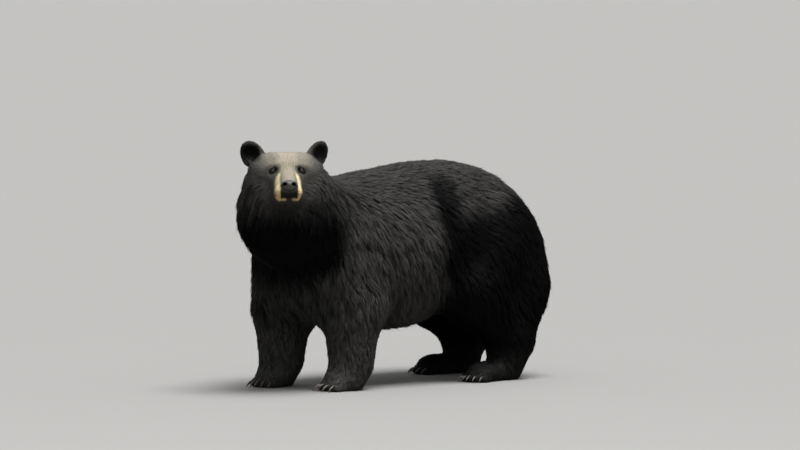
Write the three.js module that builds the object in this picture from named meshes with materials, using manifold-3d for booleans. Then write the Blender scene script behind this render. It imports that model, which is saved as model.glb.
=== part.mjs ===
// A life-size American black bear in its heavy autumn coat. It stands on four feet with its head raised
// and turned to the left. The outlines are those of the tips of the coat. The body is one smooth blend of
// round masses set over the joints of the skeleton, parted with thin cuts where a person would name its
// parts. Units are millimetres and degrees. The bear faces -Y, its left side is +X and +Z is up. The soles
// of the four paws lie on z = 0, and the origin is on the floor, under the middle of the model's box.
import * as THREE from "three";
import { mergeVertices } from "three/addons/utils/BufferGeometryUtils.js";
import Module from "manifold-3d";

const wasm = await Module();
wasm.setup();

// ---- Driving dimensions ----
// While the body is modelled, y = 0 is the line between the two forelegs.
const BACK_HEIGHT = 838; // floor to the highest fur, over the loins
const SHOULDER_HEIGHT = 784; // floor to the fur over the shoulders
const BELLY_HEIGHT = 212; // floor to the lowest fur of the belly
const BELLY_WIDTH = 580;
const HIP_Y = 770; // from the line of the forelegs back to the middle of the haunches
const FOREFOOT_OUT = 164; // middle of the body to the middle of a forepaw
const HINDFOOT_OUT = 188;
const STEP = { left_fore: 35, right_fore: -28, left_hind: 0, right_hind: 110 }; // each leg, back from square
const PAW_TURN = { left_fore: -7, right_fore: 9, left_hind: 10, right_hind: -12 };
const HEAD_PLACE = new THREE.Vector3(230, -330, 846); // the point between the eyes
const HEAD_TURN = 52; // to the left of straight ahead
const HEAD_RAISE = 5;
const EYE_OUT = 53; // middle of the face to the middle of an eye
const EYE_RADIUS = 12;
const CLAW_LENGTH = { fore: 38, hind: 30 };
const GAP = 0.4; // width of the cuts between neighbouring parts

const LEFT = 1;
const RIGHT = -1;
const vec = (x, y, z) => new THREE.Vector3(x, y, z);
const radians = (angles) => angles.map(THREE.MathUtils.degToRad);
const bothSides = (make) => [make(LEFT), make(RIGHT)];

// ---- Round masses ----
// A mass is a function of a point: negative inside, zero on the surface and about the distance outside.

// An ellipsoid, turned by angles about X, Y and Z.
function ball(centre, radii, angles = [0, 0, 0]) {
  const unturn = new THREE.Quaternion()
    .setFromEuler(new THREE.Euler(...radians(angles), "ZYX"))
    .invert();
  const p = vec(0, 0, 0);
  return (point) => {
    const near = p.copy(point).sub(centre).applyQuaternion(unturn).divide(radii).length();
    const slope = p.divide(radii).length();
    return slope > 0 ? (near * (near - 1)) / slope : -Math.min(...radii);
  };
}

// A round bar from a to b that tapers from one radius to the other, and is broader across X than along Y.
function limb(a, b, radiusA, radiusB, broad = 1) {
  const squeeze = vec(1 / broad, 1, 1);
  const start = a.clone().multiply(squeeze);
  const axis = b.clone().multiply(squeeze).sub(start);
  const p = vec(0, 0, 0);
  return (point) => {
    p.copy(point).multiply(squeeze).sub(start);
    const along = THREE.MathUtils.clamp(p.dot(axis) / axis.lengthSq(), 0, 1);
    return p.addScaledVector(axis, -along).length() - THREE.MathUtils.lerp(radiusA, radiusB, along);
  };
}

// The smooth union of masses, with a fillet about as wide as the number given.
function blend(fillet, ...masses) {
  const join = (a, b) => {
    const near = Math.max(fillet - Math.abs(a - b), 0);
    return Math.min(a, b) - (near * near) / (4 * fillet);
  };
  return (point) => masses.map((mass) => mass(point)).reduce(join);
}

// A mass with another pressed into it as a dent with a rounded rim.
function dented(rim, mass, dent) {
  const outside = blend(rim, (point) => -mass(point), dent);
  return (point) => -outside(point);
}

// A mass that was shaped in the frame of a placed object, as seen from outside that frame.
function placed(object, mass) {
  object.updateMatrixWorld(true);
  const inverse = object.matrixWorld.clone().invert();
  const p = vec(0, 0, 0);
  return (point) => mass(p.copy(point).applyMatrix4(inverse));
}

// ---- Trunk ----
const BELLY_DEPTH = 604;
const trunk = blend(
  120,
  ball(vec(0, 130, SHOULDER_HEIGHT - 262), vec(236, 300, 256), [6, 0, 0]), // ribs
  ball(vec(0, 372, BELLY_HEIGHT + BELLY_DEPTH / 2), vec(BELLY_WIDTH / 2 - 8, 340, BELLY_DEPTH / 2)),
  ball(vec(0, HIP_Y - 122, BACK_HEIGHT - 255), vec(226, 340, 255), [-4, 0, 0]), // loins and rump
  ball(vec(0, HIP_Y + 74, 572), vec(180, 164, 164)), // croup
  ball(vec(5, -52, 470), vec(172, 130, 206)), // breast
);

// ---- Neck ----
const neck = blend(
  80,
  limb(vec(0, 70, 572), vec(112, -215, 690), 194, 172),
  ball(vec(125, -214, 658), vec(192, 160, 184), [0, 0, HEAD_TURN]), // ruff
);

// ---- Paws ----
const kindOf = (name) => name.split("_")[1]; // fore or hind

// In a paw's own frame the origin is on the floor below the wrist or ankle, and the toes point to -Y.
const PAWS = {
  fore: { toesY: -82, width: 88, radius: 25, masses: [ball(vec(0, -30, 33), vec(62, 72, 46), [-8, 0, 0])] },
  hind: {
    toesY: -108,
    width: 84,
    radius: 24,
    masses: [
      ball(vec(0, -38, 31), vec(57, 90, 43), [-5, 0, 0]), // ball and instep
      ball(vec(0, 62, 34), vec(50, 62, 48)), // heel
    ],
  },
};
const TOES = 5;
const TOE_SPLAY = 9;

function pawAt(name, x, y) {
  const frame = new THREE.Object3D();
  frame.position.set(x, y, 0);
  frame.rotation.z = THREE.MathUtils.degToRad(PAW_TURN[name]);
  const { masses } = PAWS[kindOf(name)];
  return { frame, mass: placed(frame, blend(40, ...masses)) };
}

// ---- Legs ----
// A foreleg hangs from the shoulder blade by way of the elbow and the wrist.
function foreleg(name, side) {
  const step = STEP[name];
  const x = side * FOREFOOT_OUT;
  const shoulder = vec(side * 130, -34, 500);
  const elbow = vec(x, step + 18, 345);
  const wrist = vec(x, step + 14, 100);
  const paw = pawAt(name, x, step);
  const mass = blend(
    46,
    ball(vec(side * 134, 34, 560), vec(108, 150, 205), [14, 0, 0]), // shoulder blade
    limb(shoulder, elbow, 106, 102),
    limb(elbow, wrist, 114, 83),
    ball(vec(side * 152, step + 34, 310), vec(100, 142, 118), [-8, 0, 0]), // long fur round the elbow
    paw.mass,
  );
  return { side, mass, frame: paw.frame, joints: [shoulder, elbow, wrist, vec(x, step + 14, 0)] };
}

// A hind leg hangs from the haunch by way of the knee and the hock, and stands flat on its long foot.
function hindleg(name, side) {
  const step = STEP[name];
  const x = side * HINDFOOT_OUT;
  const y = HIP_Y - 20 + step;
  const hip = vec(side * 150, HIP_Y - 40, 480);
  const knee = vec(side * 180, HIP_Y - 130 + 0.4 * step, 360);
  const hock = vec(x, y + 92, 150);
  const heel = vec(x, y + 78, 60);
  const paw = pawAt(name, x, y);
  const mass = blend(
    50,
    ball(vec(side * 138, HIP_Y + 18 + 0.1 * step, 440), vec(136, 256, 258), [9, 0, 0]), // haunch
    limb(hip, knee, 140, 118),
    limb(knee, hock, 112, 74),
    limb(vec(side * 156, HIP_Y + 132 + 0.3 * step, 345), hock, 130, 84), // long fur behind the thigh
    limb(hock, heel, 70, 54),
    paw.mass,
  );
  return { side, mass, frame: paw.frame, joints: [hip, knee, hock, heel] };
}

const legs = {
  left_fore: foreleg("left_fore", LEFT),
  right_fore: foreleg("right_fore", RIGHT),
  left_hind: hindleg("left_hind", LEFT),
  right_hind: hindleg("right_hind", RIGHT),
};

// ---- Tail ----
const TAIL_ROOT = vec(0, HIP_Y + 218, 664);
const TAIL_TIP = vec(12, HIP_Y + 280, 552);
const tail = limb(TAIL_ROOT, TAIL_TIP, 46, 31);

// ---- Head ----
// In the head's own frame the origin is between the eyes, the nose points to -Y and +Z is up.
const headFrame = new THREE.Object3D();
headFrame.position.copy(HEAD_PLACE);
headFrame.rotation.set(...radians([-HEAD_RAISE, 0, HEAD_TURN]), "ZXY");

const skull = blend(
  30,
  ...bothSides((side) => ball(vec(side * 42, 92, -6), vec(92, 108, 77))), // cranium, broad and flat on top
  ...bothSides((side) => ball(vec(side * 71, 86, -56), vec(87, 88, 88))), // cheeks
  limb(vec(0, 10, -24), vec(0, -110, -65), 45, 25), // bridge of the nose
  limb(vec(0, -8, -68), vec(0, -100, -80), 51, 33, 1.08), // muzzle
  ...bothSides((side) => ball(vec(side * 22, -96, -86), vec(24, 38, 16))), // upper lips
  limb(vec(0, 0, -104), vec(0, -92, -103), 40, 14, 1.2), // lower jaw
);
const brows = blend(
  14,
  ...bothSides((side) => ball(vec(side * 43, 6, 15), vec(27, 23, 12), [0, side * 14, 0])),
);
const orbits = blend(8, ...bothSides((side) => ball(vec(side * (EYE_OUT + 2), -22, 0), vec(17, 18, 12))));
const face = dented(14, blend(24, skull, brows), orbits);

// An ear is a round cup that opens forwards. It leans out, and turns outwards on its root.
const EAR_OUT = { [LEFT]: 92, [RIGHT]: 98 };
const EAR_LEAN = 30;
const EAR_TURN = { [LEFT]: 35, [RIGHT]: 8 };
function earAt(side) {
  const frame = new THREE.Object3D();
  frame.position.set(side * EAR_OUT[side], 112, 17);
  frame.rotation.set(...radians([0, side * EAR_LEAN, side * EAR_TURN[side]]), "YZX");
  frame.updateMatrixWorld(true);
  const leaf = ball(vec(0, 0, 47), vec(43, 19, 61));
  const cup = ball(vec(0, -23, 58), vec(31, 24, 40));
  return { frame, mass: placed(frame, dented(8, leaf, cup)) };
}
const ears = { [LEFT]: earAt(LEFT), [RIGHT]: earAt(RIGHT) };
const headMass = blend(12, face, ears[LEFT].mass, ears[RIGHT].mass);

// The nose leather caps the muzzle, with nostrils that open forwards and to the sides.
const nosePad = blend(
  8,
  ball(vec(0, -121, -56), vec(30, 22, 20)),
  ball(vec(0, -120, -68), vec(23, 21, 13)),
);
const nostrils = blend(
  3,
  ...bothSides((side) => ball(vec(side * 13, -144, -47), vec(8, 13, 6.4), [0, side * 20, 0])),
);
const noseMass = dented(4, nosePad, nostrils);

// ---- The whole body as one mass ----
const legMasses = Object.values(legs).map((leg) => leg.mass);
const headless = blend(66, trunk, neck, ...legMasses);
const body = blend(16, blend(44, headless, placed(headFrame, headMass)), tail);

// The same mass as seen from inside the frame of a placed object.
const within = (object, mass) => (point) => mass(object.localToWorld(point.clone()));
const bodyInHead = within(headFrame, body);

// ---- From a mass to a solid ----
// A net is laid over the surface on a grid inside a box: each grid cell that the surface crosses gets one
// vertex, moved onto the surface, and each grid edge that it crosses gets a face of four vertices.
class Grid {
  constructor(mass, box, step) {
    const spans = box.getSize(vec(0, 0, 0)).divide(step).ceil();
    this.step = step;
    this.counts = spans.toArray().map((n) => n + 1);
    this.low = box.getCenter(vec(0, 0, 0)).sub(spans.multiply(step).divideScalar(2));
    this.strides = [1, this.counts[0], this.counts[0] * this.counts[1]];
    this.values = new Float64Array(this.counts[0] * this.counts[1] * this.counts[2]);
    this.visit(this.counts, (i, j, k, index) => {
      const onRim = [i, j, k].some((n, axis) => n === 0 || n === this.counts[axis] - 1);
      this.values[index] = onRim ? step.x : mass(this.pointAt(i, j, k));
    });
  }
  pointAt(i, j, k) {
    return vec(i, j, k).multiply(this.step).add(this.low);
  }
  visitCells(action) {
    this.visit(
      this.counts.map((n) => n - 1),
      action,
    );
  }
  visit([nx, ny, nz], action) {
    const [, sy, sz] = this.strides;
    for (let k = 0; k < nz; k++) {
      for (let j = 0; j < ny; j++) {
        for (let i = 0; i < nx; i++) action(i, j, k, i + j * sy + k * sz);
      }
    }
  }
}

const CORNERS = Array.from({ length: 8 }, (_, n) => [n & 1, (n >> 1) & 1, n >> 2]);

// The mean of the points where the surface crosses the edges of a cell, in cell units, or null.
function crossingOf(values) {
  const sum = vec(0, 0, 0);
  let crossings = 0;
  for (let from = 0; from < 8; from++) {
    for (const bit of [1, 2, 4]) {
      const to = from | bit;
      if (to === from || values[from] < 0 === values[to] < 0) continue;
      const along = values[from] / (values[from] - values[to]);
      sum.add(vec(...CORNERS[from]).lerp(vec(...CORNERS[to]), along));
      crossings++;
    }
  }
  return crossings ? sum.divideScalar(crossings) : null;
}

// Moves a point near the surface onto it in a few Newton steps, unless that takes it too far.
function settle(mass, start, reach) {
  const point = start.clone();
  const probe = vec(0, 0, 0);
  const nudge = reach / 50;
  for (let round = 0; round < 5; round++) {
    const value = mass(point);
    const slope = ["x", "y", "z"].map((axis) => {
      probe.copy(point)[axis] += nudge;
      return (mass(probe) - value) / nudge;
    });
    const gradient = vec(...slope);
    point.addScaledVector(gradient, -value / Math.max(gradient.lengthSq(), 0.1));
  }
  return point.distanceTo(start) < reach ? point : start;
}

function solidOf(mass, box, step) {
  const grid = new Grid(mass, box, step);
  const inner = box.clone().expandByVector(step.clone().multiplyScalar(-1.5));
  const [, sy, sz] = grid.strides;
  const vertexOf = new Map();
  const points = [];
  grid.visitCells((i, j, k, cell) => {
    const crossing = crossingOf(CORNERS.map(([a, b, c]) => grid.values[cell + a + b * sy + c * sz]));
    if (!crossing) return;
    const start = crossing.multiply(step).add(grid.pointAt(i, j, k));
    vertexOf.set(cell, points.length);
    points.push(inner.containsPoint(start) ? settle(mass, start, step.x) : start);
  });
  const triangles = [];
  grid.visitCells((i, j, k, cell) => {
    grid.strides.forEach((stride, axis) => {
      const starts = grid.values[cell] < 0;
      if (starts === grid.values[cell + stride] < 0) return;
      const u = grid.strides[(axis + 1) % 3];
      const v = grid.strides[(axis + 2) % 3];
      const ring = [cell - u - v, cell - v, cell, cell - u].map((c) => vertexOf.get(c));
      triangles.push(...splitFace(points, starts ? ring : ring.reverse()));
    });
  });
  return solidFromArrays(new Float32Array(points.flatMap((p) => p.toArray())), new Uint32Array(triangles));
}

// Two triangles for a face of four vertices, parted along its shorter diagonal.
function splitFace(points, [a, b, c, d]) {
  const shortAC = points[a].distanceTo(points[c]) < points[b].distanceTo(points[d]);
  return shortAC ? [a, b, c, a, c, d] : [b, c, d, b, d, a];
}

function solidFromArrays(vertProperties, triVerts) {
  return new wasm.Manifold(new wasm.Mesh({ numProp: 3, vertProperties, triVerts }));
}

// ---- Cutting tools ----
function solidFromGeometry(geometry) {
  const bare = geometry.clone();
  bare.deleteAttribute("normal");
  bare.deleteAttribute("uv");
  const merged = mergeVertices(bare, 1e-3);
  return solidFromArrays(merged.attributes.position.array, new Uint32Array(merged.index.array));
}

// Stands a geometry that was built along +Z on a point, so that it runs off in the direction given.
function aimed(geometry, point, away) {
  const up = Math.abs(away.z) > 0.99 ? vec(0, 1, 0) : vec(0, 0, 1);
  const turn = new THREE.Matrix4().lookAt(away, vec(0, 0, 0), up).setPosition(point);
  return geometry.applyMatrix4(turn);
}

const FAR = 1600;

// A block beyond a plane, moved off it by half a cut. It is all that lies beyond if no sizes are given.
function beyond({ point, away }, [width, height, depth] = [FAR, FAR, FAR]) {
  const block = new THREE.BoxGeometry(width, height, depth).translate(0, 0, (depth + GAP) / 2);
  return solidFromGeometry(aimed(block, point, away));
}
const flipped = ({ point, away }) => ({ point, away: away.clone().negate() });
const keep = (solid, ...planes) => planes.reduce((rest, plane) => rest.intersect(beyond(plane)), solid);
const remove = (solid, ...tools) => tools.reduce((rest, tool) => rest.subtract(tool), solid);

// An oval bar that starts at a point. Its radii are its half width and half height, and it can be grown.
function ovalBar({ point, away }, [across, high], length, grow = 0) {
  const bar = new THREE.CylinderGeometry(1, 1, length + 2 * grow, 12)
    .rotateX(Math.PI / 2)
    .scale(across + grow, high + grow, 1)
    .translate(0, 0, length / 2);
  return solidFromGeometry(aimed(bar, point, away));
}

// ---- The parts ----
const finish = (color, roughness) => new THREE.MeshStandardMaterial({ color, roughness, metalness: 0 });
const COAT = finish(0x15130f, 0.8);
const NOSE_LEATHER = finish(0x1d1b1b, 0.45);
const EYEBALL = finish(0x1c0f06, 0.08);
const CLAW_HORN = finish(0x16120e, 0.4);
const bear = new THREE.Group();

// A part is the largest piece that the cuts leave, without the chips beside it.
function addPart(group, name, solid, material) {
  const [largest] = solid.decompose().sort((a, b) => b.volume() - a.volume());
  const { numProp, vertProperties, triVerts } = largest.getMesh();
  const geometry = new THREE.BufferGeometry();
  geometry.setAttribute("position", new THREE.BufferAttribute(vertProperties, numProp));
  geometry.setIndex(new THREE.BufferAttribute(triVerts, 1));
  geometry.computeVertexNormals();
  const mesh = new THREE.Mesh(geometry, material);
  mesh.name = name;
  group.add(mesh);
}

// A group placed as an object is, for parts that are shaped in that object's frame.
function addGroup(parent, { position, rotation }) {
  const group = new THREE.Group();
  group.position.copy(position);
  group.rotation.copy(rotation);
  parent.add(group);
  return group;
}

const boxFrom = (x, y, z) => new THREE.Box3(vec(x[0], y[0], z[0]), vec(x[1], y[1], z[1]));

// ---- Where the parts meet ----
headFrame.updateMatrixWorld(true);
const NECK_ROOT = { point: vec(20, -70, 640), away: vec(0.28, -0.86, 0.42) };
const OCCIPUT = { point: vec(0, 108, -60), away: vec(0, 0.86, -0.5) }; // in the head's frame
const NECK_END = {
  point: headFrame.localToWorld(OCCIPUT.point.clone()),
  away: OCCIPUT.away.clone().transformDirection(headFrame.matrixWorld),
};
const CHEST_END = { point: vec(0, 205, 500), away: vec(0, 1, 0) };
const BELLY_END = { point: vec(0, 480, 500), away: vec(0, 1, 0) };
const SOLES = { point: vec(0, 400, -GAP / 2), away: vec(0, 0, 1) };

// A leg is what two oval bars take out of the body: one across the shoulder or haunch, one down the limb.
const ROOT_OUT = 104; // middle of the body to the root of a leg
const ROOTS = {
  fore: { y: 22, z: 470, radii: [165, 215], lean: 0.3, columnY: 28, column: [128, 172] },
  hind: { y: HIP_Y + 27, z: 440, radii: [272, 250], lean: 0.26, columnY: HIP_Y + 26, column: [136, 264] },
};
function legRegion(name, grow = 0) {
  const { side } = legs[name];
  const root = ROOTS[kindOf(name)];
  const blade = {
    point: vec(side * ROOT_OUT, root.y + 0.25 * STEP[name], root.z),
    away: vec(side, 0, -root.lean),
  };
  const column = { point: vec(side * 180, root.columnY + 0.6 * STEP[name], 340), away: vec(0, 0, -1) };
  return ovalBar(blade, root.radii, 420, grow).add(ovalBar(column, root.column, 400, grow));
}

// The plane that halves a joint between two bones, facing the far bone.
function jointPlane(before, joint, after) {
  const away = vec(0, 0, 0)
    .add(joint.clone().sub(before).normalize())
    .add(after.clone().sub(joint).normalize());
  return { point: joint, away: away.normalize() };
}

const TAIL_AXIS = { point: TAIL_ROOT.clone(), away: TAIL_TIP.clone().sub(TAIL_ROOT).normalize() };
const tailRegion = (grow = 0) => ovalBar(TAIL_AXIS, [62, 50], 220, grow);

// ---- The body under its nets ----
// The trunk, neck and tops of the legs have a wide net, the legs from elbow and knee down a finer one.
const upperBody = solidOf(body, boxFrom([-350, 430], [-560, 1180], [150, 1010]), vec(80, 92, 72));
const lowerBody = solidOf(body, boxFrom([-350, 350], [-160, 1180], [-57, 579]), vec(54, 62, 53));

// ---- Trunk, neck and tail ----

function addTrunkAndNeck() {
  const legRegions = Object.keys(legs).map((name) => legRegion(name, GAP));
  const trunk = remove(keep(upperBody, flipped(NECK_ROOT)), ...legRegions, tailRegion(GAP));
  addPart(bear, "neck", keep(upperBody, NECK_ROOT, NECK_END), COAT);
  addPart(bear, "chest", keep(trunk, flipped(CHEST_END)), COAT);
  addPart(bear, "belly", keep(trunk, CHEST_END, flipped(BELLY_END)), COAT);
  addPart(bear, "rump", keep(trunk, BELLY_END), COAT);
}

function addTail() {
  const solid = solidOf(body, boxFrom([-130, 140], [HIP_Y + 90, HIP_Y + 360], [420, 760]), vec(32, 30, 40));
  addPart(bear, "tail", solid.intersect(tailRegion()), COAT);
}

// ---- Head ----
const NOSE_BLOCK = { plane: { point: vec(0, -114, -44), away: vec(0, -1, 0) }, sizes: [120, 70, 80] };
const JAW_BLOCK = { plane: { point: vec(0, -115, -93), away: vec(0, 0, -1) }, sizes: [170, 200, 120] };
const EAR_ROOT = 27; // from the root of an ear's frame to the cut
const EAR_BAR = { radii: [54, 54], length: 130 };
const EYE_BACK = -3;

function addHead() {
  const group = addGroup(bear, headFrame);
  const solid = solidOf(bodyInHead, boxFrom([-230, 230], [-190, 260], [-270, 150]), vec(25, 30, 25));
  const earCuts = Object.values(ears).map(({ frame }) => {
    return ovalBar(earPlane(frame), EAR_BAR.radii, EAR_BAR.length, GAP);
  });
  const sockets = bothSides((side) => {
    const socket = new THREE.SphereGeometry(EYE_RADIUS + GAP, 9, 6);
    return solidFromGeometry(socket.translate(side * EYE_OUT, EYE_BACK, 0));
  });
  const blocks = [NOSE_BLOCK, JAW_BLOCK].map(({ plane, sizes }) => beyond(plane, sizes));
  addPart(group, "head", remove(keep(solid, flipped(OCCIPUT)), ...blocks, ...earCuts, ...sockets), COAT);
  addNose(group);
  addJaw(group);
  for (const side of [LEFT, RIGHT]) {
    addEar(group, side);
    addEye(group, side);
  }
}

// The plane across the root of an ear, facing its tip, in the head's frame.
function earPlane(frame) {
  return {
    point: frame.localToWorld(vec(0, 0, EAR_ROOT)),
    away: vec(0, 0, 1).transformDirection(frame.matrixWorld),
  };
}

// A block moved in by the width of a cut on all sides, so that what it takes out keeps clear of the rest.
function inset({ plane: { point, away }, sizes }) {
  const shrunk = [sizes[0] - 2 * GAP, sizes[1] - 2 * GAP, sizes[2]];
  return beyond({ point: point.clone().addScaledVector(away, GAP), away }, shrunk);
}

function addNose(group) {
  const solid = solidOf(noseMass, boxFrom([-50, 50], [-170, -80], [-110, -10]), vec(10, 9.5, 9));
  addPart(group, "nose", solid.intersect(inset(NOSE_BLOCK)), NOSE_LEATHER);
}

function addJaw(group) {
  const solid = solidOf(bodyInHead, boxFrom([-110, 110], [-190, 20], [-210, -60]), vec(26, 28, 22));
  addPart(group, "lower_jaw", solid.intersect(inset(JAW_BLOCK)), COAT);
}

function addEar(group, side) {
  const { frame } = ears[side];
  const earGroup = addGroup(group, frame);
  const box = boxFrom([-90, 90], [-90, 90], [-30, 130]);
  const solid = solidOf(within(frame, bodyInHead), box, vec(17, 11, 17));
  const intoEar = frame.matrixWorld.clone().invert();
  const region = ovalBar(earPlane(frame), EAR_BAR.radii, EAR_BAR.length).transform(intoEar.elements);
  addPart(earGroup, `${nameOf(side)}_ear`, solid.intersect(region), COAT);
}

function addEye(group, side) {
  const eye = new THREE.Mesh(new THREE.SphereGeometry(EYE_RADIUS, 9, 6), EYEBALL);
  eye.name = `${nameOf(side)}_eye`;
  eye.position.set(side * EYE_OUT, EYE_BACK, 0);
  group.add(eye);
}

// ---- Legs ----
const PART_NAMES = { fore: ["upper_arm", "forearm", "forepaw"], hind: ["thigh", "shank", "hindpaw"] };

function addLeg(name) {
  const { side, joints } = legs[name];
  const [first, second, third, last] = joints;
  const middle = jointPlane(first, second, third);
  const low = jointPlane(second, third, last);
  const [upperName, lowerName, pawName] = PART_NAMES[kindOf(name)].map((part) => `${nameOf(side)}_${part}`);
  const region = legRegion(name);
  const [upper, lower] = [upperBody, lowerBody].map((solid) => solid.intersect(region));
  addPart(bear, upperName, keep(upper, flipped(middle), flipped(NECK_ROOT)), COAT);
  addPart(bear, lowerName, keep(lower, middle, flipped(low)), COAT);
  addPaw(name, keep(lower, low), pawName);
}

function addPaw(name, foot, pawName) {
  const toes = Array.from({ length: TOES }, (_, i) => toeOf(name, (2 * i) / (TOES - 1) - 1));
  const beds = toes.map((toe) => beyond(toe.bed, NAIL_BED));
  const paw = toes.reduce((joined, toe) => joined.add(toe.solid), foot);
  addPart(bear, pawName, remove(keep(paw, SOLES), ...beds), COAT);
  toes.forEach(({ bed }, i) => {
    addPart(bear, `${pawName}_claw_${i + 1}`, clawSolid(bed, CLAW_LENGTH[kindOf(name)]), CLAW_HORN);
  });
}

// A toe is an egg that lies on the floor, cut off flat at its tip where the claw grows out of its nail bed.
// The outermost toes, at -1 and 1 across the paw, are the smallest and stand furthest back.
const NAIL_BED = [24, 24, 30];
const EGG = { broad: 0.84, long: 1.5 };
function toeOf(name, across) {
  const { frame } = legs[name];
  const { toesY, width, radius } = PAWS[kindOf(name)];
  const size = radius * (1 - 0.14 * Math.abs(across));
  const toe = new THREE.Object3D();
  toe.position.set((across * width) / 2, toesY + 12 * across * across, size * 0.86);
  toe.rotation.set(...radians([8, 0, TOE_SPLAY * across]), "ZYX");
  frame.add(toe);
  frame.updateMatrixWorld(true);
  const egg = new THREE.SphereGeometry(size, 6, 4).rotateX(Math.PI / 2).scale(EGG.broad, EGG.long, 1);
  const bed = {
    point: toe.localToWorld(vec(0, -1.36 * size, 0.28 * size)),
    away: vec(0, -1, 0.1).transformDirection(toe.matrixWorld),
  };
  return { solid: solidFromGeometry(egg.applyMatrix4(toe.matrixWorld)), bed };
}

// A claw is a horn bent down in an arc, narrower than it is deep, that starts just clear of its nail bed.
const CLAW_BEND = 0.85; // radians from root to tip
function clawSolid(bed, length) {
  const arc = length / CLAW_BEND;
  const horn = new THREE.CylinderGeometry(1.5, 6.3, length, 4, 2);
  const { position } = horn.attributes;
  for (let i = 0; i < position.count; i++) {
    const angle = (position.getY(i) / length + 0.5) * CLAW_BEND;
    const out = arc + position.getZ(i);
    position.setXYZ(i, -0.72 * position.getX(i), out * Math.cos(angle) - arc, out * Math.sin(angle));
  }
  return solidFromGeometry(aimed(horn, bed.point.clone().addScaledVector(bed.away, GAP), bed.away));
}

function nameOf(side) {
  return side === LEFT ? "left" : "right";
}

addTrunkAndNeck();
addTail();
addHead();
Object.keys(legs).forEach(addLeg);

// The origin goes on the floor under the middle of the box round the whole model.
const middleOfModel = new THREE.Box3().setFromObject(bear, true).getCenter(vec(0, 0, 0));
bear.position.set(-middleOfModel.x, -middleOfModel.y, 0);

export default bear;
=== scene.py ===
"""A life-size black bear that stands on four feet with its head turned to its left.
Metres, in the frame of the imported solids: the bear faces -Y, its left side is +X and the floor is z = 0."""

from math import cos, radians, sin

import bmesh
import bpy
import numpy as np
from mathutils import Euler, Matrix, Vector
from mathutils.bvhtree import BVHTree
from mathutils.kdtree import KDTree


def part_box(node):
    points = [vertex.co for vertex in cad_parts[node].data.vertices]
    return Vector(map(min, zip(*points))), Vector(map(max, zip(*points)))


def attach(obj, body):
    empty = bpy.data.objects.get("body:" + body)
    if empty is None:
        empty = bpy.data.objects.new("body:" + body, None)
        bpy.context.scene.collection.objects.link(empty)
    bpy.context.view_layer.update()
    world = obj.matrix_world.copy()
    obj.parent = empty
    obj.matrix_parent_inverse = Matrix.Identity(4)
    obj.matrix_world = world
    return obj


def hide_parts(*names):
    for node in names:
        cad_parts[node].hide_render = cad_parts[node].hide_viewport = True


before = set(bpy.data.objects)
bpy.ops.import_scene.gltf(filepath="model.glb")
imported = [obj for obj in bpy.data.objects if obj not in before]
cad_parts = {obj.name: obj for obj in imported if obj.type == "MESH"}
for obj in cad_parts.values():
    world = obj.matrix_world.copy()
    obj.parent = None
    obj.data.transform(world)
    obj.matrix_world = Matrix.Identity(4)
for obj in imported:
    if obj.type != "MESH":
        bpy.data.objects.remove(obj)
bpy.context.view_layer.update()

# ---- Frames of the body and the head ----
# The bear is shaped in millimetres from the line between its forelegs. The head has a frame of its own,
# with its origin between the eyes and the nose towards -Y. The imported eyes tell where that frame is.
MM = 0.001
LEFT, RIGHT = 1, -1
HEAD_TURN = 52  # to the left of straight ahead
HEAD_RAISE = 5
EYE_AT = Vector((53, -3, 0))  # the left eyeball, in the head's frame
HEAD_PLACE = Vector((230, -330, 846))  # the head's origin, in the body's frame

head_turn = Euler((radians(-HEAD_RAISE), 0, radians(HEAD_TURN))).to_matrix()
head_frame = Matrix.Translation(HEAD_PLACE) @ head_turn.to_4x4()
eye_low, eye_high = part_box("left_eye")
body_origin = (eye_low + eye_high) / 2 - MM * (head_frame @ EYE_AT)
to_metres = Matrix.Translation(body_origin) @ Matrix.Scale(MM, 4)

# ---- Camera ----
# A long lens thirty metres off, in front of the bear's left shoulder. It looks slightly down, and nearly
# straight at the turned head.
AZIMUTH, ELEVATION = radians(48), radians(3.5)
DISTANCE = 30
LENS = 356.4
AIM_RIGHT, AIM_UP = 0.3295, 0.6174  # from the body's origin to the middle of the view


def in_scene(name, data):
    thing = bpy.data.objects.new(name, data)
    bpy.context.scene.collection.objects.link(thing)
    return thing


right = Vector((cos(AZIMUTH), sin(AZIMUTH), 0))
away = Vector((-sin(AZIMUTH) * cos(ELEVATION), cos(AZIMUTH) * cos(ELEVATION), -sin(ELEVATION)))
up = right.cross(away)
camera_data = bpy.data.cameras.new("camera")
camera_data.sensor_width = 36
camera_data.lens = LENS
camera_data.clip_end = 200
camera = in_scene("camera", camera_data)
eye_point = body_origin + right * AIM_RIGHT + up * AIM_UP - away * DISTANCE
camera.matrix_world = Matrix.Translation(eye_point) @ Matrix((right, up, -away)).transposed().to_4x4()
bpy.context.scene.camera = camera

# ---- Studio ----
# A pale floor that runs out to a sky of the same tone, a broad soft lamp overhead and a softbox
# in front, which puts the light in the eyes and the sheen on the shoulders.
FLOOR_SIZE = 400
FLOOR_TONE = (0.17, 0.1685, 0.164)
SKY_TONES = [(0.0, 0.22), (0.35, 0.27), (1.0, 1.5)]  # height of the sky, from the horizon up, and its tone
LAMP_TURN = (0, radians(17), 0)
SOFTBOX_AT, SOFTBOX_AIM = Vector((3.6, -2.6, 3.4)), Vector((0.1, 0, 0.6))


def material_of(name, **settings):
    """A principled material with the given settings on its own sockets, and its nodes, links and shader."""
    material = bpy.data.materials.new(name)
    material.use_nodes = True
    shader = material.node_tree.nodes["Principled BSDF"]
    for socket, value in settings.items():
        shader.inputs[socket.replace("_", " ")].default_value = value
    return material, shader


def add_node(shader, kind, **settings):
    """A new node in the shader's tree with its properties and unlinked inputs set."""
    node = shader.id_data.nodes.new(kind)
    for name, value in settings.items():
        if hasattr(node, name):
            setattr(node, name, value)
        else:
            node.inputs[name.replace("_", " ")].default_value = value
    return node


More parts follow.
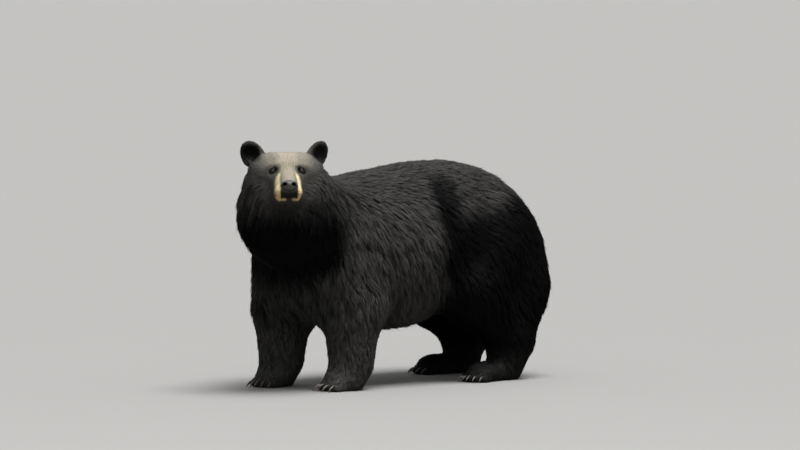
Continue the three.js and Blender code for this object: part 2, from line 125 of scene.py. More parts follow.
def join(shader, source, target):
    shader.id_data.links.new(source, target)


def textured(shader, kind, **settings):
    """A texture in the object's own coordinates."""
    place = add_node(shader, "ShaderNodeTexCoord")
    texture = add_node(shader, kind, **settings)
    join(shader, place.outputs["Object"], texture.inputs["Vector"])
    return texture


def graded(shader, value, stops):
    """A value turned into colours by stops of position and colour."""
    ramp = add_node(shader, "ShaderNodeValToRGB")
    elements = ramp.color_ramp.elements
    for number, (position, colour) in enumerate(stops):
        stop = elements[number] if number < 2 else elements.new(position)
        stop.position, stop.color = position, (*colour, 1)
    join(shader, value, ramp.inputs["Fac"])
    return ramp.outputs["Color"]


def finished(bm, name, material):
    """The bmesh as a smooth mesh object at the origin."""
    mesh = bpy.data.meshes.new(name)
    bm.to_mesh(mesh)
    bm.free()
    mesh.materials.append(material)
    mesh.shade_smooth()
    return in_scene(name, mesh)


floor_material, floor_shader = material_of("studio_floor", Roughness=0.9, Specular_IOR_Level=0.1)
floor_grain = textured(floor_shader, "ShaderNodeTexNoise", Scale=3, Detail=4)
floor_tones = [(share, [tone * depth for tone in FLOOR_TONE]) for share, depth in ((0, 0.985), (1, 1.0))]
floor_colour = graded(floor_shader, floor_grain.outputs["Fac"], floor_tones)
join(floor_shader, floor_colour, floor_shader.inputs["Base Color"])
bm = bmesh.new()
bmesh.ops.create_grid(bm, x_segments=4, y_segments=4, size=FLOOR_SIZE)
floor = finished(bm, "floor", floor_material)

sky = bpy.data.worlds.new("sky")
sky.use_nodes = True
backdrop = sky.node_tree.nodes["Background"]
sky_place = add_node(backdrop, "ShaderNodeTexCoord")
sky_height = add_node(backdrop, "ShaderNodeSeparateXYZ")
join(backdrop, sky_place.outputs["Generated"], sky_height.inputs["Vector"])
sky_stops = [(height, (tone, tone, tone)) for height, tone in SKY_TONES]
join(backdrop, graded(backdrop, sky_height.outputs["Z"], sky_stops), backdrop.inputs["Color"])
bpy.context.scene.world = sky

lamp_data = bpy.data.lights.new("overhead_lamp", "SUN")
lamp_data.energy = 7.6
lamp_data.angle = radians(32)
in_scene("overhead_lamp", lamp_data).rotation_euler = LAMP_TURN

softbox_data = bpy.data.lights.new("softbox", "AREA")
softbox_data.energy = 45
softbox_data.size = 2
softbox_turn = (SOFTBOX_AIM - SOFTBOX_AT).to_track_quat("-Z", "Y").to_matrix().to_4x4()
softbox = in_scene("softbox", softbox_data)
softbox.matrix_world = Matrix.Translation(body_origin + SOFTBOX_AT) @ softbox_turn
bpy.context.scene.view_settings.view_transform = "Standard"

# ---- Form of the body ----
# The outline of the fur is a smooth blend of round masses over the joints of the skeleton. A mass is a
# function of points in the body's frame: negative inside, zero on the surface, about the distance outside.
BACK_HEIGHT = 838
SHOULDER_HEIGHT = 784
BELLY_HEIGHT = 212
BELLY_WIDTH, BELLY_DEPTH = 580, 604
HIP_Y = 770
FOREFOOT_OUT, HINDFOOT_OUT = 164, 188
STEP = {"left_fore": 35, "right_fore": -28, "left_hind": 0, "right_hind": 110}
PAW_TURN = {"left_fore": -7, "right_fore": 9, "left_hind": 10, "right_hind": -12}
BOTH = (LEFT, RIGHT)


def turned(angles):
    return Euler([radians(angle) for angle in angles]).to_matrix()


def ball(centre, radii, angles=(0, 0, 0)):
    """An ellipsoid, turned by angles about X, Y and Z."""
    turn, centre, radii = np.array(turned(angles)), np.array(centre, float), np.array(radii, float)

    def mass(points):
        unit = (points - centre) @ turn / radii
        near = np.linalg.norm(unit, axis=1)
        slope = np.linalg.norm(unit / radii, axis=1)
        return np.where(slope > 0, near * (near - 1) / np.maximum(slope, 1e-9), -radii.min())

    return mass


def limb(a, b, radius_a, radius_b, broad=1):
    """A round bar that tapers from a to b, and is broader across X than along Y."""
    squeeze = np.array((1 / broad, 1, 1))
    start = np.array(a) * squeeze
    axis = np.array(b) * squeeze - start

    def mass(points):
        offset = points * squeeze - start
        along = np.clip(offset @ axis / (axis @ axis), 0, 1)
        distance = np.linalg.norm(offset - along[:, None] * axis, axis=1)
        return distance - (radius_a + (radius_b - radius_a) * along)

    return mass


def blend(fillet, *masses):
    """The smooth union of masses, with a fillet about as wide as the number given."""

    def mass(points):
        whole = masses[0](points)
        for other in masses[1:]:
            value = other(points)
            near = np.maximum(fillet - np.abs(whole - value), 0)
            whole = np.minimum(whole, value) - near * near / (4 * fillet)
        return whole

    return mass


def dented(rim, form, dent):
    """A mass with another pressed into it as a dent with a rounded rim."""
    outside = blend(rim, lambda points: -form(points), dent)
    return lambda points: -outside(points)


def shared(rim, *masses):
    """What masses have in common, with a rounded rim."""
    outside = blend(rim, *[lambda points, mass=mass: -mass(points) for mass in masses])
    return lambda points: -outside(points)


def moved(matrix, points):
    matrix = np.array(matrix)
    return points @ matrix[:3, :3].T + matrix[:3, 3]


def placed(matrix, mass):
    """A mass that was shaped in a frame of its own."""
    inverse = matrix.inverted()
    return lambda points: mass(moved(inverse, points))


trunk = blend(
    120,
    ball((0, 130, SHOULDER_HEIGHT - 262), (236, 300, 256), (6, 0, 0)),
    ball((0, 372, BELLY_HEIGHT + BELLY_DEPTH / 2), (BELLY_WIDTH / 2 - 8, 340, BELLY_DEPTH / 2)),
    ball((0, HIP_Y - 122, BACK_HEIGHT - 255), (226, 340, 255), (-4, 0, 0)),
    ball((0, HIP_Y + 74, 572), (180, 164, 164)),
    ball((5, -52, 470), (172, 130, 206)),
)
neck = blend(
    80,
    limb((0, 70, 572), (112, -215, 690), 194, 172),
    ball((125, -214, 658), (192, 160, 184), (0, 0, HEAD_TURN)),
)
tail = limb((0, HIP_Y + 218, 664), (12, HIP_Y + 280, 552), 46, 31)

# A paw's own frame is on the floor below the wrist or ankle, with the toes towards -Y.
PAWS = {
    "fore": {"toes_y": -82, "width": 88, "radius": 25},
    "hind": {"toes_y": -108, "width": 84, "radius": 24},
}
PALMS = {
    "fore": [ball((0, -30, 33), (62, 72, 46), (-8, 0, 0))],
    "hind": [ball((0, -38, 31), (57, 90, 43), (-5, 0, 0)), ball((0, 62, 34), (50, 62, 48))],
}
TOE_PLACES = [-1, -0.5, 0, 0.5, 1]
TOE_SPLAY = 9
paw_frames = {}
toe_frames = {}


def paw_at(name, x, y):
    """The mass of a paw. It notes the frames of the paw and its toes, the outer toes smaller."""
    kind = name.split("_")[1]
    paw_frame = Matrix.Translation((x, y, 0)) @ Matrix.Rotation(radians(PAW_TURN[name]), 4, "Z")
    paw_frames[name] = paw_frame
    sizes = PAWS[kind]
    toes = []
    for number, across in enumerate(TOE_PLACES, 1):
        size = sizes["radius"] * (1 - 0.14 * abs(across))
        place = Vector((across * sizes["width"] / 2, sizes["toes_y"] + 12 * across**2, size * 0.86))
        turn = turned((8, 0, TOE_SPLAY * across)).to_4x4()
        toe_frames[name, number] = paw_frame @ Matrix.Translation(place) @ turn, size
        toes.append(placed(toe_frames[name, number][0], ball((0, 0, 0), (0.84 * size, 1.5 * size, size))))
    palm = placed(paw_frame, blend(40, *PALMS[kind]))
    return palm, toes


def foreleg(name, side):
    step = STEP[name]
    x = side * FOREFOOT_OUT
    elbow, wrist = (x, step + 18, 345), (x, step + 14, 100)
    palm, toes = paw_at(name, x, step)
    leg = blend(
        46,
        ball((side * 134, 34, 560), (108, 150, 205), (14, 0, 0)),
        limb((side * 130, -34, 500), elbow, 106, 102),
        limb(elbow, wrist, 114, 83),
        ball((side * 152, step + 34, 310), (100, 142, 118), (-8, 0, 0)),
        palm,
    )
    return leg, toes


def hindleg(name, side):
    step = STEP[name]
    x, y = side * HINDFOOT_OUT, HIP_Y - 20 + step
    knee, hock = (side * 180, HIP_Y - 130 + 0.4 * step, 360), (x, y + 92, 150)
    palm, toes = paw_at(name, x, y)
    leg = blend(
        50,
        ball((side * 138, HIP_Y + 18 + 0.1 * step, 440), (136, 256, 258), (9, 0, 0)),
        limb((side * 150, HIP_Y - 40, 480), knee, 140, 118),
        limb(knee, hock, 112, 74),
        limb((side * 156, HIP_Y + 132 + 0.3 * step, 345), hock, 130, 84),
        limb(hock, (x, y + 78, 60), 70, 54),
        palm,
    )
    return leg, toes


legs = [
    foreleg("left_fore", LEFT),
    foreleg("right_fore", RIGHT),
    hindleg("left_hind", LEFT),
    hindleg("right_hind", RIGHT),
]

skull = blend(
    30,
    *[ball((side * 42, 92, -6), (92, 108, 77)) for side in BOTH],
    *[ball((side * 71, 86, -56), (87, 88, 88)) for side in BOTH],
    limb((0, 10, -24), (0, -110, -65), 45, 25),
    limb((0, -8, -68), (0, -100, -80), 51, 33, 1.08),
    *[ball((side * 22, -96, -86), (24, 38, 16)) for side in BOTH],
    limb((0, 0, -104), (0, -92, -103), 40, 14, 1.2),
)
brows = blend(14, *[ball((side * 43, 6, 15), (27, 23, 12), (0, side * 14, 0)) for side in BOTH])
orbits = blend(8, *[ball((side * (EYE_AT.x + 2), -22, 0), (17, 18, 12)) for side in BOTH])
face = dented(14, blend(24, skull, brows), orbits)

EAR_OUT = {LEFT: 92, RIGHT: 98}
EAR_LEAN = 30
EAR_TURN = {LEFT: 35, RIGHT: 8}
ear_frames = {}
ears = []
for side in BOTH:
    lean = Matrix.Rotation(radians(side * EAR_LEAN), 4, "Y")
    turn = Matrix.Rotation(radians(side * EAR_TURN[side]), 4, "Z")
    ear_frames[side] = Matrix.Translation((side * EAR_OUT[side], 112, 17)) @ lean @ turn
    cup = ball((0, -23, 58), (31, 24, 40))
    ears.append(placed(ear_frames[side], dented(8, ball((0, 0, 47), (43, 19, 61)), cup)))
head = placed(head_frame, blend(12, face, *ears))
headless = blend(66, trunk, neck, *[leg for leg, toes in legs])
body = blend(16, blend(44, headless, head), tail)
body_with_toes = blend(8, body, *[toe for leg, toes in legs for toe in toes])

# ---- Lie of the coat ----
# The coat's length, depth and slant change over the body. Each place below has the way the hair lies there
# and the kind of coat, and the points between are a smooth mean of the places around them.
COATS = {  # length, depth, width of a tuft, and tufts on a square centimetre
    "back": (52, 14, 3.4, 7.5),
    "flank": (66, 18, 3.8, 6.5),
    "rump": (64, 16, 3.8, 7),
    "belly": (76, 24, 4.2, 5.5),
    "ruff": (72, 22, 3.8, 7),
    "leg": (38, 9, 3.1, 9.5),
    "paw": (16, 6, 2.4, 14),
    "cheek": (27, 12, 2.1, 18),
    "crown": (17, 5, 1.6, 24),
    "brow": (10, 3, 1.3, 30),
    "muzzle": (6, 1.6, 1.1, 40),
    "lid": (5.5, 1.2, 1.0, 44),
    "ear": (17, 4.5, 1.7, 26),
}


def sided(side, point):
    """A point or direction as given on the left side, and mirrored on the right."""
    return Vector((side * point[0], point[1], point[2]))


places = [  # a place on the body, the way the hair lies there, and its kind
    ((40, -60, 800), (-0.35, 0.9, -0.1), "ruff"),
    ((0, 90, 800), (0, 1, -0.05), "back"),
    ((0, 400, 830), (0, 1, 0), "back"),
    ((0, 640, 845), (0, 1, -0.1), "back"),
    ((0, 840, 800), (0, 0.9, -0.45), "rump"),
    ((0, 985, 650), (0, 0.35, -0.95), "rump"),
    ((0, 1030, 570), (0, 0.3, -1), "rump"),
    ((0, 960, 420), (0, 0.1, -1), "rump"),
    ((0, 620, 230), (0, 1, -0.1), "belly"),
    ((0, 350, 228), (0, 1, -0.1), "belly"),
    ((0, 60, 290), (0, 0.9, -0.4), "belly"),
    ((20, -180, 430), (0, 0.1, -1), "ruff"),
    ((10, -100, 320), (0, 0.5, -0.9), "ruff"),
    ((60, -330, 560), (-0.1, 0.25, -1), "ruff"),
    ((-60, -260, 620), (-0.6, 0.5, -0.65), "ruff"),
    ((-150, -110, 620), (-0.3, 0.6, -0.7), "ruff"),
    ((180, -120, 660), (-0.2, 0.65, -0.75), "ruff"),
    ((220, -230, 620), (0.1, 0.45, -0.9), "ruff"),
    ((160, -330, 560), (0, 0.1, -1), "ruff"),
]
SIDE_PLACES = [  # the same on the left side, and mirrored on the right
    ((120, 60, 760), (0.3, 0.85, -0.4), "back"),
    ((225, 10, 600), (0.05, 0.38, -0.92), "flank"),
    ((235, 20, 470), (0, 0.3, -1), "flank"),
    ((140, -140, 470), (0.1, 0.1, -1), "ruff"),
    ((160, 330, 790), (0.25, 0.9, -0.35), "back"),
    ((280, 300, 620), (0, 0.55, -0.83), "flank"),
    ((285, 340, 480), (0, 0.33, -0.94), "flank"),
    ((230, 340, 320), (0, 0.4, -0.9), "belly"),
    ((150, 640, 800), (0.25, 0.9, -0.35), "back"),
    ((245, 620, 600), (0, 0.75, -0.65), "rump"),
    ((265, 800, 560), (0, 0.55, -0.85), "rump"),
    ((150, 950, 640), (0, 0.6, -0.8), "rump"),
    ((265, 760, 420), (0, 0.3, -1), "rump"),
    ((170, 1010, 450), (0, 0.15, -1), "rump"),
    ((60, 800, 330), (0, 0.4, -0.9), "leg"),
    ((250, 620, 420), (0, 0.5, -0.86), "rump"),
]
for side in BOTH:
    places += [(sided(side, point), sided(side, lie), kind) for point, lie, kind in SIDE_PLACES]
for name, paw_frame in paw_frames.items():
    foot_x, foot_y = paw_frame.translation.xy
    side, hind = (LEFT if foot_x > 0 else RIGHT), "hind" in name
    lean = 90 if hind else 12
    for height, kind in ((330, "flank"), (220, "leg"), (120, "leg")):
        reach = 90 if height > 300 else 75
        y = foot_y + lean + (0.2 * (height - 150) if hind else 0)
        places += [
            ((foot_x + side * reach, y, height), (side * 0.1, 0.2, -1), kind),
            ((foot_x - side * reach, y, height), (0, 0.2, -1), kind),
            ((foot_x, y - reach, height), (0, 0.05, -1), kind),
            ((foot_x, y + reach, height), (0, 0.3, -1), kind),
        ]
    places += [
        ((foot_x, foot_y - 90, 55), (0, -1, -0.5), "paw"),
        ((foot_x, foot_y - 40, 75), (0, -0.8, -0.7), "paw"),
        ((foot_x + side * 60, foot_y - 40, 30), (side * 0.2, -0.7, -0.7), "paw"),
        ((foot_x - side * 60, foot_y - 40, 30), (-side * 0.2, -0.7, -0.7), "paw"),
        ((foot_x, foot_y + lean + 30, 25), (0, 0, -1), "paw"),
    ]

HEAD_PLACES = [  # the left half of the face, and its middle where x is 0
    ((0, -125, -38), (0, 1, 0.3), "muzzle"),
    ((0, -70, -12), (0, 1, 0.35), "muzzle"),
    ((0, -30, 8), (0, 0.8, 0.6), "muzzle"),
    ((0, -10, 40), (0, 0.6, 0.8), "brow"),
    ((0, 30, 62), (0, 0.85, 0.5), "crown"),
    ((0, 100, 66), (0, 1, 0), "crown"),
    ((0, -128, -88), (0, 0.3, -1), "muzzle"),
    ((0, -100, -118), (0, 0.7, -0.8), "muzzle"),
    ((0, -50, -140), (0, 0.8, -0.6), "cheek"),
    ((0, 0, -160), (0, 0.6, -0.8), "cheek"),
    ((33, -100, -62), (0.15, 1, -0.1), "muzzle"),
    ((38, -110, -90), (0.3, 0.9, -0.4), "muzzle"),
    ((50, -60, -70), (0.25, 1, -0.15), "muzzle"),
    ((40, -50, -30), (0.3, 0.9, 0.1), "muzzle"),
    ((48, -30, -100), (0.3, 0.8, -0.6), "muzzle"),
    ((34, -84, -116), (0.2, 0.8, -0.6), "muzzle"),
    ((54, -62, -98), (0.3, 0.9, -0.3), "muzzle"),
    ((25, -18, 20), (0.3, 0.5, 0.8), "brow"),
    ((55, -14, 24), (0.55, 0.5, 0.6), "brow"),
    ((60, -20, -24), (0.75, 0.6, -0.25), "brow"),
    ((80, 2, 0), (0.7, 0.7, 0.05), "brow"),
    ((52, -17, 11), (0.3, 0.3, 0.9), "lid"),
    ((53, -18, -11), (0.5, 0.4, -0.75), "lid"),
    ((39, -17, 1), (-0.6, 0.5, 0.3), "lid"),
    ((67, -11, 2), (0.9, 0.4, 0.1), "lid"),
    ((60, 20, 55), (0.45, 0.8, 0.35), "crown"),
    ((95, 40, 30), (0.5, 0.85, 0.1), "crown"),
    ((85, 10, -50), (0.7, 0.6, -0.45), "cheek"),
    ((80, 0, -100), (0.6, 0.55, -0.7), "cheek"),
    ((120, 60, -60), (0.35, 0.7, -0.65), "cheek"),
    ((135, 100, -90), (0.1, 0.5, -0.9), "ruff"),
    ((60, 20, -150), (0.25, 0.5, -0.85), "cheek"),
    ((100, 80, -150), (0.1, 0.4, -0.95), "ruff"),
    ((110, 150, 0), (-0.2, 0.9, -0.3), "crown"),
    ((40, 170, 40), (-0.1, 1, -0.2), "crown"),
]
for point, lie, kind in HEAD_PLACES:
    for side in BOTH if point[0] else (LEFT,):
        places.append((head_frame @ sided(side, point), head_turn @ sided(side, lie), kind))
for side in BOTH:
    ear = head_frame @ ear_frames[side]
    for point, lie in (
        ((0, 18, 50), (0, 0.1, 1)),
        ((0, 18, 90), (0, 0, 1)),
        ((0, -10, 30), (0, 0.2, 1)),
        ((0, -12, 90), (0, -0.2, 1)),
        ((36, 0, 60), (0.5, 0, 1)),
        ((-36, 0, 60), (-0.5, 0, 1)),
    ):
        places.append((ear @ Vector(point), ear.to_3x3() @ Vector(lie), "ear"))

place_points = np.array([point for point, lie, kind in places])
place_lies = np.array([Vector(lie).normalized() for point, lie, kind in places])
place_coats = np.array([COATS[kind] for point, lie, kind in places], float)
place_reach = np.where(place_coats[:, 0] < 35, 40.0, 90.0)  # a short coat changes over a shorter way
place_reach[place_coats[:, 0] < COATS["muzzle"][0]] = 20
PLACE_BLUR = 0.25


def coat_at(points):
    """The way the coat lies at points in the body's frame, and its length, depth, width and density."""
    lies, coats = [], []
    for chunk in np.array_split(points, max(1, len(points) // 20000)):
        gaps = np.linalg.norm(chunk[:, None, :] - place_points[None], axis=2) / place_reach
        weights = 1 / (gaps**2 + PLACE_BLUR) ** 3
        weights /= weights.sum(axis=1, keepdims=True)
        lies.append(weights @ place_lies)
        coats.append(weights @ place_coats)
    return np.concatenate(lies), np.concatenate(coats)


# ---- Skin ----
# One tanned hide, glued down over all the flesh. It lies below the outline of the fur by about half the
# depth of the coat. It is bare at the lids, lips and pads, and carries the tan muzzle and the grey brow.
BASE_STEP = 0.012
NUDGE = 0.4  # the step over which the slope of a mass is taken
FIRM = 0.001  # the copies of the solids are grown by this, to close the cuts between them
SUNK = 0.55  # the share of the coat's depth that the hide lies below the outline
SOLE_HEIGHT = 4

EYE_OPENING = Vector((0.2, -1, 0.04)).normalized()  # the way the left eye's lids open
LID_RADIUS = 13.6
almonds = []
lids = []
for side in BOTH:
    eye, opening = sided(side, EYE_AT), sided(side, EYE_OPENING)
    along = opening.cross((0, 0, 1)).normalized() * -side
    along = (along + Vector((0, 0, 0.22))).normalized()
    over = along.cross(opening).normalized() * side
    middle = eye + opening * 9
    arc, rise = 10.2, 6.2
    upper, lower = [middle + over * lift for lift in (-rise + 0.6, rise)]
    almonds.append(
        shared(
            1.2,
            limb(upper - opening * 12, upper + opening * 30, arc, arc + 1),
            limb(lower - opening * 12, lower + opening * 30, arc, arc + 1),
        )
    )
    lids.append(ball(eye, (LID_RADIUS,) * 3))
eye_openings = blend(1, *almonds)

LIP_LINE = [(0, -137, -91), (20, -127, -94), (34, -104, -97), (45, -66, -98), (50, -34, -92)]
LIP_GAPS = [2.6, 2.6, 2.3, 1.2, 0.2]  # half the gap between the lips, from the front to the corner
mouth_cuts = []
for side in BOTH:
    steps = [(sided(side, point), gap) for point, gap in zip(LIP_LINE, LIP_GAPS)]
    mouth_cuts += [limb(a, b, gap_a, gap_b) for (a, gap_a), (b, gap_b) in zip(steps, steps[1:])]
mouth = blend(1, *mouth_cuts)
philtrum = limb((0, -142, -74), (0, -136, -92), 1.6, 1.6)
CREASES = [  # points along a fold on the left side, its radius, its depth and the sides that have it
    ([(150, 498, 762), (215, 476, 705), (240, 466, 650), (262, 492, 565), (262, 515, 450)], 38, 20, BOTH),
    ([(150, -92, 322), (223, -60, 364), (262, 0, 400), (262, 60, 420)], 26, 10, BOTH),
    ([(285, -185, 780), (305, -223, 716), (303, -251, 676), (280, -285, 620)], 32, 15, (LEFT,)),
]
folds = []
for line, radius, sink, fold_sides in CREASES:
    line_points = np.array(line, float)
    for _ in range(3):
        outward = np.stack([(body(line_points + step) - body(line_points)) for step in np.eye(3)], axis=1)
        outward /= np.linalg.norm(outward, axis=1)[:, None]
        line_points -= outward * body(line_points)[:, None]
    line_points += outward * (radius - sink)
    for side in fold_sides:
        ends = [(side * x, y, z) for x, y, z in line_points]
        folds += [limb(a, b, radius, radius) for a, b in zip(ends, ends[1:])]
crease = blend(6, *folds)

nose_seat = ball((0, -152, -54.5), (46, 34, 28))


def skin_form(depth):
    """The hide as a mass, where the depth of the coat over it is known at each point."""
    hide = dented(34, lambda points: body_with_toes(points) + depth, lambda points: crease(points) + depth)
    hide = blend(9, hide, placed(head_frame, blend(1.5, *lids)))
    hide = dented(1.2, hide, placed(head_frame, eye_openings))
    hide = dented(4, hide, placed(head_frame, nose_seat))
    hide = dented(3, hide, placed(head_frame, blend(1, mouth, philtrum)))
    return shared(3, hide, lambda points: -points[:, 2])


def depth_at(points):
    """The depth of the coat, which runs out on the soles."""
    return SUNK * coat_at(points)[1][:, 1] * np.clip((points[:, 2] - SOLE_HEIGHT) / 20, 0, 1)


def slope_of(mass, points):
    value = mass(points)
    slope = [(mass(points + step) - value) / NUDGE for step in NUDGE * np.eye(3)]
    return value, np.stack(slope, axis=1)


def settled(mass, points, rounds, most):
    """The points moved onto the surface of a mass in a few steps, none of them longer than the most."""
    points = points.copy()
    for _ in range(rounds):
        value, slope = slope_of(mass, points)
        move = -slope * (value / np.maximum((slope**2).sum(axis=1), 0.1))[:, None]
        length = np.maximum(np.linalg.norm(move, axis=1), 1e-9)
        points += move * np.minimum(1, most / length)[:, None]
    return points


def points_of(vertices):
    """Vertices in the body's frame, in millimetres."""
    return moved(to_metres.inverted(), np.array([v.co for v in vertices]))


def put(vertices, points):
    for v, co in zip(vertices, moved(to_metres, points)):
        v.co = co


def settle_on_skin(vertices, rounds, most):
    points = points_of(vertices)
    put(vertices, settled(skin_form(depth_at(points)), points, rounds, most))


def relax_on_skin(vertices, factor, rounds, most):
    bmesh.ops.smooth_vert(
        bm, verts=vertices, factor=factor, use_axis_x=True, use_axis_y=True, use_axis_z=True
    )
    settle_on_skin(vertices, rounds, most)


BARE_PARTS = ("eye", "nose", "claw")
flesh = [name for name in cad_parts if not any(part in name for part in BARE_PARTS)]
bm = bmesh.new()
for name in flesh:
    bm.from_mesh(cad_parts[name].data)
bmesh.ops.remove_doubles(bm, verts=bm.verts, dist=1e-5)
bm.normal_update()
for v in bm.verts:
    v.co += v.normal * FIRM
lump_mesh = bpy.data.meshes.new("lump")
bm.to_mesh(lump_mesh)
bm.free()
lump = in_scene("lump", lump_mesh)
remesh = lump.modifiers.new("remesh", "REMESH")
remesh.mode = "VOXEL"
remesh.voxel_size = BASE_STEP
depsgraph = bpy.context.evaluated_depsgraph_get()
bm = bmesh.new()
bm.from_mesh(lump.evaluated_get(depsgraph).to_mesh())
bpy.data.objects.remove(lump)

left_over = set(bm.verts)
shells = []
while left_over:
    shell, front = set(), [left_over.pop()]
    while front:
        v = front.pop()
        shell.add(v)
        for edge in v.link_edges:
            other = edge.other_vert(v)
            if other in left_over:
                left_over.remove(other)
                front.append(other)
    shells.append(shell)
shells.sort(key=len)
for shell in shells[:-1]:
    bmesh.ops.delete(bm, geom=list(shell), context="VERTS")

settle_on_skin(list(bm.verts), 5, 12)
for _ in range(2):
    relax_on_skin(list(bm.verts), 0.5, 2, 5)


def refine(chosen, rounds):
    """Halves the faces whose middles, in the head's frame, are chosen, and settles the new vertices."""
    middles = moved(to_metres.inverted(), np.array([f.calc_center_median() for f in bm.faces]))
    picked = chosen(moved(head_frame.inverted(), middles), middles)
    edges = {edge for face, pick in zip(bm.faces, picked) if pick for edge in face.edges}
    bmesh.ops.subdivide_edges(bm, edges=list(edges), cuts=1, use_grid_fill=True)
    close = {v for face in bm.faces if len(face.verts) > 4 for v in face.verts}
    bmesh.ops.triangulate(bm, faces=[face for face in bm.faces if len(face.verts) > 4])
    points = points_of(bm.verts)
    picked = chosen(moved(head_frame.inverted(), points), points)
    vertices = [v for v, pick in zip(bm.verts, picked) if pick or v in close]
    relax_on_skin(vertices, 0.4, rounds, 3)


def near_eyes(at, reach):
    fronts = [np.array(sided(side, EYE_AT) + Vector((0, -6, 0))) for side in BOTH]
    return np.minimum(*[np.linalg.norm(at - front, axis=1) for front in fronts]) < reach


def in_box(at, low, high):
    return np.all((at > low) & (at < high), axis=1)


refine(lambda at, points: in_box(at, (-190, -200, -190), (190, 150, 170)) | (points[:, 2] < 80), 3)
refine(lambda at, points: in_box(at, (-95, -200, -135), (95, 15, 45)), 3)
refine(lambda at, points: near_eyes(at, 24) | (mouth(at) < 9), 4)
refine(lambda at, points: in_box(at, (-160, 70, 40), (160, 150, 150)), 3)
bmesh.ops.recalc_face_normals(bm, faces=bm.faces)

BLACK = (0.0214, 0.0207, 0.0198)  # the guard hair that covers most of the body, where no painted shade lies on it
PAINTED_SHADE = (0.0005, 0.0005, 0.0005)  # painted shade on the haunches, the chest, the creases, the top of the back and the ears
GREY = (0.050, 0.048, 0.044)  # the cheeks
PALE = (0.124, 0.112, 0.087)  # the forehead and the bridge of the nose
CREAM = (0.34, 0.295, 0.175)  # the stripes down the sides of the muzzle
TAN = (0.38, 0.27, 0.125)  # the lower ends of the stripes
MASK = (0.0080, 0.0076, 0.0066)  # round the eyes and on the front of the muzzle
BARE = (0.010, 0.009, 0.009)  # lids, lips and pads


def ease(values, low, high):
    share = np.clip((values - low) / (high - low), 0, 1)
    return share * share * (3 - 2 * share)


